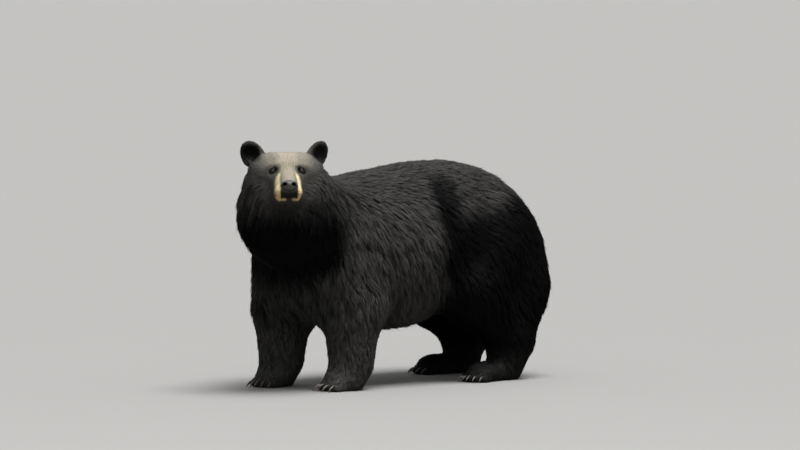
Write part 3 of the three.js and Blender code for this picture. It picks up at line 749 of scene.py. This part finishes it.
def markings_and_shade(points):
    """The colour of the hair at points in the body's frame, its markings and its painted shade, and how far
    the hide is bare there. Each mark is a product of shares, which grow from 0 to 1 between the two places
    that are given in millimetres."""
    at = moved(head_frame.inverted(), points)
    x, y, z = at.T
    out = np.abs(x)
    on_head = in_box(at, (-175, -200, -150), (175, 130, 95))
    pale_half = np.interp(z, (-60, -10, 5, 40, 70), (24, 24, 28, 33, 35))
    pale = ease(pale_half - out, -15, 9) * ease(z, -62, -46) * ease(-y, -95, -40)
    grizzle = ease(out, 125, 70) * ease(z, -70, 10) * ease(-y, -120, -70)
    haze = ease(out, 175, 95) * ease(z, -150, -50) * ease(-y, -110, -30) * 0.32
    temple = ease(out, 128, 54) * ease(z, -6, 24) * ease(-y, -110, -60) * 0.56
    stripe_in = np.interp(z, (-113, -60, -45, -7), (32, 33, 33, 28))
    stripe_heights = (-118, -111, -103, -94, -80, -50, -22, -7, 2)
    stripe_out = np.interp(z, stripe_heights, (34, 40, 45, 48, 50.5, 49, 43, 37, 33))
    stripe = ease(out - stripe_in, -4, 4) * ease(stripe_out - out, -4, 4)
    stripe = stripe * ease(-y - 0.35 * z, 26, 52) * ease(-y, 142, 130)
    stripe = stripe * ease(z, -116, -107) * ease(-z, -6, 8)
    low_stripe = ease(-z, 62, 92)
    curl = ease(out, 8, 15) * ease(stripe_out - out, -2, 5) * ease(-y, 40, 60)
    curl = curl * ease(-z, 97, 102) * ease(z, -118, -112)
    from_eye = out - EYE_AT.x
    eye_gap = np.linalg.norm(np.stack((1.08 * from_eye, y + 10, 1.4 * (z + 0.3 * from_eye))), axis=0)
    lid = ease(-eye_gap, -15.5, -12)
    ring = ease(-eye_gap, -20.5, -14.5)
    lip = ease(-mouth(at), -5, -1.5)
    front = ease(32 - out, -2, 3) * ease(-y, 104, 114) * ease(-z, 50, 60) * ease(z, -112, -104)
    aside, along, height = np.abs(points[:, 0]), points[:, 1], points[:, 2]
    # Painted shade: the haunch and the chest under the head are made nearly black.
    haunch_top = np.interp(along, (500, 600, 740, 860), (615, 655, 668, 720))
    haunch_edge = np.interp(height, (380, 450, 560, 640), (410, 340, 350, 385))
    haunch = 0.98 * ease(along - haunch_edge, 0, 120) * ease(haunch_top - height, -70, 50)
    haunch = haunch * (1 - 0.25 * ease(-height, -150, -70))
    chest_edge = np.interp(height, (390, 500), (15, 155)) - 0.669 * aside - 0.743 * along
    chest = ease(chest_edge, 0, 65) * (0.3 + 0.7 * ease(height, 330, 480)) * ease(-height, -765, -625)
    # Painted shade in the creases in front of the haunches, behind the elbows and behind the ruff.
    fold_top = np.where(along > 0, 845, 790)
    fold = 0.3 + 0.65 * ease(along, 340, 420) + 0.5 * ease(-along, 100, 170)
    fold = fold * ease(-crease(points), -60, -8) * ease(fold_top - height, 0, 85)
    # Painted shade along the top of the back and neck, which the overhead lamp lights most.
    crest = 0.3 * ease(height, 640, 740) * (1 - on_head)
    # Painted shade in the hollows of the ears and on their rims, deeper on the bear's right ear.
    hollow = np.maximum(*[ease(-placed(ear_frames[side], cup)(at), -5, 2) for side in BOTH])
    hollow = hollow * on_head * np.where(x > 0, 0.75, 1)
    ear = 0.5 * ease(out, 82, 104) * ease(z, 30, 60) + 0.3 * ease(-x, 92, 104) * ease(z, 30, 50)
    # The hair darkens towards the painted shade by the largest of these shares.
    shade_share = np.max((haunch, chest, fold, hollow, crest), axis=0)[:, None]
    colour = np.array(BLACK) * (1 - shade_share) + shade_share * np.array(PAINTED_SHADE)
    for share, tone in (
        (haze, GREY),
        (grizzle * 0.8, GREY),
        (temple, PALE),
        (pale, PALE),
        (stripe, CREAM),
        (stripe * low_stripe * (0.4 + 0.55 * ease(stripe_in + 11 - out, 0, 7)), TAN),
        (curl, TAN),
        (front, MASK),
        # painted shade on the rims of the ears
        (ear, PAINTED_SHADE),
        (ring, MASK),
    ):
        share = (share * on_head)[:, None]
        colour = colour * (1 - share) + share * np.array(tone)
    groove = ease(5 - out, 0, 2.5) * ease(-y, 118, 126) * ease(-z, 74, 80) * ease(z, -94, -88)
    bare = np.clip(lid + lip + groove, 0, 1) * on_head
    bare = np.maximum(bare, ease(-height, -6, -1))
    return colour * (1 - bare[:, None]) + bare[:, None] * np.array(BARE), bare


def add_colours(mesh, colour):
    """Stores the colour of the hair on the vertices of a mesh."""
    rgba = np.ones((len(colour), 4), np.float32)
    rgba[:, :3] = colour
    mesh.attributes.new("coat_colour", "FLOAT_COLOR", "POINT").data.foreach_set("color", rgba.ravel())


def multiplied(shader, tone, shade):
    """Colours the shader with a tone times a shade."""
    product = add_node(shader, "ShaderNodeMix", data_type="RGBA", blend_type="MULTIPLY", Factor=1)
    join(shader, tone, product.inputs["A"])
    join(shader, shade, product.inputs["B"])
    join(shader, product.outputs["Result"], shader.inputs["Base Color"])


def bumped(shader, height, strength, distance):
    """Gives the shader a bump of so many metres."""
    bump = add_node(shader, "ShaderNodeBump", Strength=strength, Distance=distance)
    join(shader, height, bump.inputs["Height"])
    join(shader, bump.outputs["Normal"], shader.inputs["Normal"])


skin_material, skin_shader = material_of("hide", Roughness=0.75, Specular_IOR_Level=0.08)
skin_colour = add_node(skin_shader, "ShaderNodeAttribute", attribute_name="coat_colour")
skin_mottle = textured(skin_shader, "ShaderNodeTexNoise", Scale=60, Detail=5)
skin_shade = graded(skin_shader, skin_mottle.outputs["Fac"], [(0.3, (0.55, 0.52, 0.5)), (0.7, (1, 1, 1))])
skin_fine = textured(skin_shader, "ShaderNodeTexNoise", Scale=700, Detail=2)
multiplied(skin_shader, skin_colour.outputs["Color"], skin_shade)
bumped(skin_shader, skin_fine.outputs["Fac"], 0.5, 0.001)

skin = finished(bm, "skin", skin_material)
skin.data.uv_layers.new(name="OFBake")
bpy.context.view_layer.objects.active = skin
bpy.ops.object.mode_set(mode="EDIT")
bpy.ops.mesh.select_all(action="SELECT")
bpy.ops.uv.smart_project(angle_limit=radians(70), island_margin=0.002)
bpy.ops.object.mode_set(mode="OBJECT")
skin_points = points_of(skin.data.vertices)
skin_tones, skin_bare = markings_and_shade(skin_points)
add_colours(skin.data, skin_tones)
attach(skin, "root")
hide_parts(*flesh)

# ---- Nose ----
# The leather that caps the muzzle: black, finely pebbled and lacquered to look damp, with comma-shaped
# nostrils and a groove down its middle to the lip. It is seated in a hollow at the end of the hide.
NOSE_MIDDLE = Vector((0, -121, -61))
NOSE_SPREAD = Vector((31, 24, 24))
NOSTRIL = (16.5, -146, -55)
NOSTRIL_RADII = (8.6, 12, 8)
nose_pad = blend(7, ball((0, -121, -58), (32, 24, 19)), ball((0, -121, -72), (26, 22, 14)))
nostrils = [ball(sided(side, NOSTRIL), NOSTRIL_RADII) for side in BOTH]
nose_cuts = [limb((0, -146, -64), (0, -139, -84), 0.8, 1.2)]
for side, nostril in zip(BOTH, nostrils):
    nose_cuts += [nostril, limb(sided(side, (21, -142, -58)), sided(side, (31, -131, -65)), 4, 2.4)]
nose_form = dented(2.5, nose_pad, blend(2, *nose_cuts))

nose_material, nose_shader = material_of("nose_leather", Roughness=0.56, Specular_IOR_Level=0.4)
nose_pebbles = textured(nose_shader, "ShaderNodeTexVoronoi", Scale=520)
nose_mottle = textured(nose_shader, "ShaderNodeTexNoise", Scale=90, Detail=4)
nose_stops = [(0, (0.008, 0.0075, 0.007)), (1, (0.030, 0.028, 0.026))]
nose_tone = graded(nose_shader, nose_mottle.outputs["Fac"], nose_stops)
# Painted shade: the leather darkens almost to black inside the nostrils.
nose_hollow = add_node(nose_shader, "ShaderNodeAttribute", attribute_name="nostril_shade_factor")
multiplied(nose_shader, nose_tone, nose_hollow.outputs["Fac"])
bumped(nose_shader, nose_pebbles.outputs["Distance"], 0.55, 0.0006)

bm = bmesh.new()
bmesh.ops.create_icosphere(bm, subdivisions=6, radius=1)
seat = np.array([v.co * NOSE_SPREAD + NOSE_MIDDLE for v in bm.verts])
seat = settled(nose_form, seat, 12, 2)
nostril_gap = np.minimum(*[nostril(seat) for nostril in nostrils])
put(bm.verts, moved(head_frame, seat))
nose = finished(bm, "nose_leather", nose_material)
nostril_shade_factor = nose.data.attributes.new("nostril_shade_factor", "FLOAT", "POINT")
nostril_shade_factor.data.foreach_set("value", np.clip(ease(nostril_gap, -1, 2) + 0.04, 0, 1))
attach(nose, "root")
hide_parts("nose")

# ---- Nostrils ----
# The dark inside each nostril, which stands in for the shade deep in it: a round plug of wax, painted matt
# black and glued into the bottom of the hollow in the leather.
PLUG_RADII, PLUG_Y = (8.3, 4, 7.8), -136.6
nostril_material, nostril_shader = material_of("nostril_shade_plug", Roughness=1.0, Specular_IOR_Level=0.0)
nostril_shader.inputs["Base Color"].default_value = (0.0012, 0.0011, 0.001, 1)
for side, name in ((LEFT, "left_nostril"), (RIGHT, "right_nostril")):
    bm = bmesh.new()
    bmesh.ops.create_icosphere(bm, subdivisions=4, radius=1)
    plug_points = np.array([v.co for v in bm.verts]) * PLUG_RADII + (side * NOSTRIL[0], PLUG_Y, NOSTRIL[2])
    put(bm.verts, moved(head_frame, plug_points))
    plug = finished(bm, name, nostril_material)
    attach(plug, "root")

# ---- Eyes ----
# Two balls of glass, dark brown with a wide round pupil and a clear bulging front. They are set in place
# first, and the lids of the hide close over their edges.
EYE_RADIUS = 12
GAZE = Vector((0, -1, 0.03)).normalized()
CORNEA_EDGE, CORNEA_RISE = 38, 0.09  # degrees from the gaze, and the rise as a share of the radius


def wavered(shader, attribute, texture, share):
    """A number stored on the vertices, with a share of a texture added."""
    number = add_node(shader, "ShaderNodeAttribute", attribute_name=attribute)
    total = add_node(shader, "ShaderNodeMath", operation="MULTIPLY_ADD")
    total.inputs[1].default_value = share
    join(shader, texture.outputs["Fac"], total.inputs[0])
    join(shader, number.outputs["Fac"], total.inputs[2])
    return total.outputs["Value"]


IRIS_STOPS = [  # from the middle of the pupil out to the white, in quarter turns
    (0.0, (0.002, 0.002, 0.002)),
    (0.150, (0.003, 0.002, 0.002)),
    (0.200, (0.020, 0.009, 0.004)),
    (0.340, (0.012, 0.005, 0.002)),
    (0.400, (0.003, 0.002, 0.002)),
    (0.520, (0.010, 0.007, 0.005)),
]
eye_material, eye_shader = material_of(
    "glass_eye", Roughness=0.1, Specular_IOR_Level=0.4, Coat_Weight=0.35, Coat_Roughness=0.02
)
eye_fibres = textured(eye_shader, "ShaderNodeTexNoise", Scale=700, Detail=3)
eye_ring = wavered(eye_shader, "from_gaze", eye_fibres, 0.05)
join(eye_shader, graded(eye_shader, eye_ring, IRIS_STOPS), eye_shader.inputs["Base Color"])

for side, name in ((LEFT, "left_eye"), (RIGHT, "right_eye")):
    bm = bmesh.new()
    bmesh.ops.create_icosphere(bm, subdivisions=5, radius=1)
    angles = np.degrees([v.co.angle(GAZE) for v in bm.verts])
    rise = 1 + CORNEA_RISE * ease(-angles, -CORNEA_EDGE, 0)
    middle = sided(side, EYE_AT)
    eyeball = np.array([middle + v.co * EYE_RADIUS * share for v, share in zip(bm.verts, rise)])
    put(bm.verts, moved(head_frame, eyeball))
    eye = finished(bm, name + "ball", eye_material)
    eye.data.attributes.new("from_gaze", "FLOAT", "POINT").data.foreach_set("value", angles / 90)
    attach(eye, "root")
    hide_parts(name)

# ---- Claws ----
# Claws of dark horn, five to a paw, curved down and flattened from side to side. The root of each is
# seated in the tip of its toe.
CLAW_LENGTH = {"fore": 38, "hind": 30}
CLAW_BEND = 0.85  # radians from root to tip
CLAW_ROOT, CLAW_TIP = 6.3, 0.9  # radii
CLAW_BED = 0.15  # the share of its length that is inside the toe
CLAW_BREADTH = 0.66
claw_material, claw_shader = material_of("claw_horn", Roughness=0.34, Specular_IOR_Level=0.5)
claw_grain = textured(claw_shader, "ShaderNodeTexNoise", Scale=420, Detail=4)
claw_stops = [(0.15, (0.010, 0.008, 0.007)), (1, (0.050, 0.040, 0.032))]
claw_tone = graded(claw_shader, wavered(claw_shader, "from_root", claw_grain, 0.35), claw_stops)
join(claw_shader, claw_tone, claw_shader.inputs["Base Color"])
bumped(claw_shader, claw_grain.outputs["Fac"], 0.3, 0.0006)

for (leg_name, number), (toe_frame, size) in toe_frames.items():
    length = CLAW_LENGTH[leg_name.split("_")[1]]
    bm = bmesh.new()
    bmesh.ops.create_cone(bm, cap_ends=True, segments=16, radius1=1, radius2=1, depth=1)
    sides = [edge for edge in bm.edges if abs(edge.verts[0].co.z - edge.verts[1].co.z) > 0.5]
    bmesh.ops.subdivide_edges(bm, edges=sides, cuts=11)
    arc = length / CLAW_BEND
    shares = []
    for v in bm.verts:
        share = v.co.z + 0.5
        radius = CLAW_TIP + (CLAW_ROOT - CLAW_TIP) * (1 - share**1.6)
        angle = (share * (1 + CLAW_BED) - CLAW_BED) * CLAW_BEND
        out = arc + radius * v.co.y
        v.co = (CLAW_BREADTH * radius * v.co.x, -out * sin(angle), out * cos(angle) - arc)
        shares.append(share)
    bed = toe_frame @ Matrix.Translation((0, -1.36 * size, 0.28 * size))
    bm.transform(to_metres @ bed)
    bmesh.ops.recalc_face_normals(bm, faces=bm.faces)
    side_name = leg_name.replace("_fore", "_forepaw").replace("_hind", "_hindpaw")
    claw = finished(bm, f"{side_name}_horn_{number}", claw_material)
    claw.data.attributes.new("from_root", "FLOAT", "POINT").data.foreach_set("value", shares)
    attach(claw, "root")
    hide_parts(f"{side_name}_claw_{number}")

# ---- Coat ----
# Black guard hair in tufts that overlap like thatch. Each tuft grows out of the hide, lies along the body
# and leans to the tip of its lock. The tufts are finest on the face and the feet.
TUFTS = 245000
LOCK_SIZE = 0.36  # spacing of the locks as a share of the coat's length
LOCK_STRETCH = 0.85  # how far a lock is drawn out along the lie of the hair
LOCK_CHOICES, DRAPE_CHOICES = 7, 12
PIECE_LIMIT = 33000  # tufts in a piece
TUFT_PATCH = 0.003  # of the unwrap
STRAY_SHARE, STRAY_RISE = 0.1, (1.1, 1.7)  # guard hairs that stand out of the coat
ROOT_SINK = 1.5
REACH = 0.92  # of its length that a tuft covers along the hide
rng = np.random.default_rng(7)


def read(items, name, width, kind):
    """A property of all the items, a row for each."""
    values = np.zeros(len(items) * width, kind)
    items.foreach_get(name, values)
    return values.reshape(-1, width)


skin_mesh = skin.data
skin_mesh.calc_loop_triangles()
corners = read(skin_mesh.loop_triangles, "vertices", 3, np.int32)
corner_loops = read(skin_mesh.loop_triangles, "loops", 3, np.int32)
skin_uv = read(skin_mesh.uv_layers["OFBake"].uv, "vector", 2, np.float32)
skin_normals = read(skin_mesh.vertices, "normal", 3, np.float32)
surface = BVHTree.FromPolygons([Vector(p) for p in skin_points], corners.tolist())


def unit(vectors):
    return vectors / np.maximum(np.linalg.norm(vectors, axis=1), 1e-9)[:, None]


def across(vectors, normals):
    """The part of the vectors that lies in the surface, as unit vectors."""
    return unit(vectors - (vectors * normals).sum(axis=1)[:, None] * normals)


def sown(density, count):
    """Points spread over the skin by the density at its corners: triangle numbers and weights of corners."""
    a, b, c = (skin_points[corners[:, k]] for k in range(3))
    area = np.linalg.norm(np.cross(b - a, c - a), axis=1) / 2
    share = np.cumsum(area * density[corners].mean(axis=1))
    picks = (np.arange(count) + rng.random(count)) / count * share[-1]
    triangle = np.minimum(np.searchsorted(share, picks), len(share) - 1)
    first, second = rng.random((2, count))
    flip = first + second > 1
    first, second = np.where(flip, 1 - first, first), np.where(flip, 1 - second, second)
    return triangle, np.stack((1 - first - second, first, second), axis=1)


def mixed(values, index, weights):
    return (values[index] * weights[:, :, None]).sum(axis=1)


def hide_at(triangle, weights):
    """Points on the skin, and its normals, coats and lies of the hair there."""
    index = corners[triangle]
    normals = unit(mixed(skin_normals, index, weights))
    lies = across(mixed(skin_lies, index, weights), normals)
    return mixed(skin_points, index, weights), normals, mixed(skin_coats, index, weights), lies


def centre_count(size, share):
    """How many centres fit on the hide when they stand a share of the coat's length apart."""
    return int((share / (size * long) ** 2 / coats[:, 3]).sum() * 100)


def tree_of(points):
    tree = KDTree(len(points))
    for number, point in enumerate(points):
        tree.insert(point, number)
    tree.balance()
    return tree


def over_skin(points):
    """The nearest points on the skin, and its normals there."""
    near = [surface.find_nearest(Vector(point))[:2] for point in points]
    return np.array([place for place, normal in near]), np.array([normal for place, normal in near])


skin_lies, skin_coats = coat_at(skin_points)
thin = 1 - np.clip(skin_bare * 1.5, 0, 1)
triangle, weights = sown(skin_coats[:, 3] * thin, int(TUFTS * (1)))
order = np.argsort(triangle, kind="stable")
triangle, weights = triangle[order], weights[order]
roots, normals, coats, lies = hide_at(triangle, weights)
root_uv = mixed(skin_uv, corner_loops[triangle], weights)
long, deep, wide = coats[:, 0], coats[:, 1], coats[:, 2]

# Locks: centres spread over the hide, denser where the coat is short. Each tuft belongs to the nearest.
lock_density = 1 / (LOCK_SIZE * skin_coats[:, 0]) ** 2
lock_roots, lock_normals, lock_coats, lock_lies = hide_at(*sown(lock_density, centre_count(LOCK_SIZE, 1)))
lock_tree = tree_of(lock_roots)


def in_line(tree, choices, stretch):
    """For each tuft the nearest centres, as squared distance and number. The distance counts for less the
    more a centre is in line with the lie of the hair."""
    for point, lie in zip(map(Vector, roots), map(Vector, lies)):
        near = []
        for centre, number, gap in tree.find_n(point, choices):
            along = (centre - point).dot(lie)
            near.append((gap * gap - stretch * along * along, number))
        yield sorted(near)


lock = np.array([near[0][1] for near in in_line(lock_tree, LOCK_CHOICES, LOCK_STRETCH)])

# Drapes: broad folds of the coat, each many locks wide and long in the lie of the hair. The hair stands
# fuller along the middle of a drape, painted lighter there as a sheen, and lies lower in the furrow between
# two of them, painted darker there as a shade.
DRAPE_SIZE = 0.6
DRAPE_STRETCH = 0.95
DRAPED = (26, 44)  # the lengths of coat between which drapes set in
drape_density = ease(skin_coats[:, 0], *DRAPED) / (DRAPE_SIZE * skin_coats[:, 0]) ** 2
drape_share = ease(long, *DRAPED)
drape_tree = tree_of(hide_at(*sown(drape_density, centre_count(DRAPE_SIZE, drape_share)))[0])
gaps = np.array([near[:2] for near in in_line(drape_tree, DRAPE_CHOICES, DRAPE_STRETCH)])[:, :, 0]
furrow = (np.maximum(gaps[:, 0], 0) / np.maximum(gaps[:, 1], 1e-6)) ** 0.5
furrow = ease(furrow, 0.35, 1) * drape_share  # 1 in the furrow between two drapes, 0 along their middles
drape_rise = 1.15 - 0.6 * furrow


def swung(directions, normals, angles):
    """Directions in the surface, turned about its normals."""
    aside = np.cross(normals, directions)
    return directions * np.cos(angles)[:, None] + aside * np.sin(angles)[:, None]


lock_swing = rng.normal(0, radians(7), len(lock_roots))
lock_length = rng.uniform(0.85, 1.15, len(lock_roots))
lock_lift = rng.uniform(0.88, 1.08, len(lock_roots))
lock_reach = swung(lock_lies, lock_normals, lock_swing) * (lock_coats[:, 0] * lock_length * REACH)[:, None]
lock_ground, lock_up = over_skin(lock_roots + lock_reach)
lock_tips = lock_ground + lock_up * (lock_coats[:, 1] * lock_lift * 0.85)[:, None]

swing = lock_swing[lock] + rng.normal(0, radians(5), len(roots))
length = long * lock_length[lock] * rng.uniform(0.7, 1.1, len(roots))
reach = swung(lies, normals, swing) * (length * REACH)[:, None]
tip_ground, tip_up = over_skin(roots + reach)
stray = np.where(rng.random(len(roots)) < STRAY_SHARE, rng.uniform(*STRAY_RISE, len(roots)), 1.0)
rise = deep * lock_lift[lock] * drape_rise * rng.uniform(0.5, 1, len(roots)) * stray
tips = tip_ground + tip_up * rise[:, None]
pull = rng.uniform(0.1, 0.4, len(roots))[:, None]
tips = tips + (lock_tips[lock] - tips) * pull
tips[:, 2] = np.maximum(tips[:, 2], 1)
middles = roots * 0.55 + tips * 0.45 + normals * (deep * drape_rise * 0.2)[:, None]
colours = markings_and_shade(middles + rng.normal(0, 0.16, (len(roots), 3)) * long[:, None])[0]
roots = roots - normals * ROOT_SINK

spine = unit(tips - roots)
aside = unit(np.cross(spine, normals))
over = np.cross(aside, spine)
half = (wide * rng.uniform(0.85, 1.35, len(roots)) / 2 / stray**1.5)[:, None]
# Painted sheen along the middles of the drapes and painted shade in their furrows, times a random tone for
# each tuft.
painted_sheen_and_tone = (1.3 - 0.8 * furrow) * (1 + rng.uniform(-1, 1, len(roots)) * np.interp(long, (6, 30), (0.15, 0.4)))
soft = unit(normals * 0.65 + over * 0.35)
bends = np.stack((soft, unit(soft + aside * 0.6), unit(soft - aside * 0.6), soft, tip_up), axis=1)
rings = [middles + aside * half, middles - aside * half, middles + over * half * 0.8]
tuft_points = np.stack((roots, *rings, tips), axis=1)
tuft_points[:, :, 2] = np.maximum(tuft_points[:, :, 2], (0.3, 0.4, 0.5, 0.6, 0.7))
TUFT_FACES = np.array([(0, 2, 1), (0, 1, 3), (0, 3, 2), (4, 1, 2), (4, 3, 1), (4, 2, 3)])
TUFT_UV = (np.array([(0.5, 0), (0, 0.4), (1, 0.4), (0.5, 0.6), (0.5, 1)]) - 0.5) * TUFT_PATCH
FROM_ROOT = np.array([0, 0.5, 0.5, 0.6, 1])

coat_material, coat_shader = material_of("black_coat", Roughness=0.6, Specular_IOR_Level=0.04)
coat_colour = add_node(coat_shader, "ShaderNodeAttribute", attribute_name="coat_colour")
join(coat_shader, coat_colour.outputs["Color"], coat_shader.inputs["Base Color"])


def coat_piece(name, chosen):
    """One mesh of the chosen tufts."""
    count = len(chosen)
    mesh = bpy.data.meshes.new(name)
    mesh.vertices.add(count * 5)
    mesh.loops.add(count * 18)
    mesh.polygons.add(count * 6)
    points = moved(to_metres, tuft_points[chosen].reshape(-1, 3))
    mesh.vertices.foreach_set("co", points.astype(np.float32).ravel())
    faces = (np.arange(count)[:, None, None] * 5 + TUFT_FACES[None]).reshape(-1)
    mesh.loops.foreach_set("vertex_index", faces.astype(np.int32))
    mesh.polygons.foreach_set("loop_start", np.arange(0, count * 18, 3, dtype=np.int32))
    mesh.update(calc_edges=True)
    patch = (root_uv[chosen][:, None, :] + TUFT_UV[TUFT_FACES.reshape(-1)][None]).reshape(-1, 2)
    mesh.uv_layers.new(name="OFBake").uv.foreach_set("vector", patch.astype(np.float32).ravel())
    # Darker at the root and lighter at the tip: painted shade deep in the coat and painted sheen on the tips,
    # with the tips' own lighter tone.
    shade = (0.6 + 0.9 * FROM_ROOT)[None, :, None] * painted_sheen_and_tone[chosen][:, None, None]
    tones = np.clip(colours[chosen][:, None, :] * shade, 0, 1).reshape(-1, 3)
    add_colours(mesh, tones)
    mesh.materials.append(coat_material)
    mesh.shade_smooth()
    mesh.normals_split_custom_set_from_vertices(bends[chosen].reshape(-1, 3))
    piece = in_scene(name, mesh)
    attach(piece, "root")


at_head = moved(head_frame.inverted(), roots)
on_head = (at_head[:, 1] < 108 + 0.58 * (at_head[:, 2] + 60)) & (np.linalg.norm(at_head, axis=1) < 260)
sides = {"left": roots[:, 0] >= 0, "right": roots[:, 0] < 0}
regions = {"head": on_head}
for side_name, on_side in sides.items():
    y, z = roots[:, 1], roots[:, 2]
    regions[f"{side_name}_neck"] = on_side & (y < -70)
    regions[f"{side_name}_shoulder"] = on_side & (z >= 400) & (y < 205)
    regions[f"{side_name}_foreleg"] = on_side & (z < 400) & (y < 205)
    regions[f"{side_name}_flank"] = on_side & (y < 480)
    regions[f"{side_name}_haunch"] = on_side & (z >= 400)
    regions[f"{side_name}_hindleg"] = on_side
free = np.ones(len(roots), bool)
for name, inside in regions.items():
    chosen = np.flatnonzero(inside & free)
    free[chosen] = False
    parts = -(-len(chosen) // PIECE_LIMIT)
    for number in range(parts):
        suffix = f"_{number + 1}" if parts > 1 else ""
        coat_piece(f"coat_{name}{suffix}", chosen[number::parts])
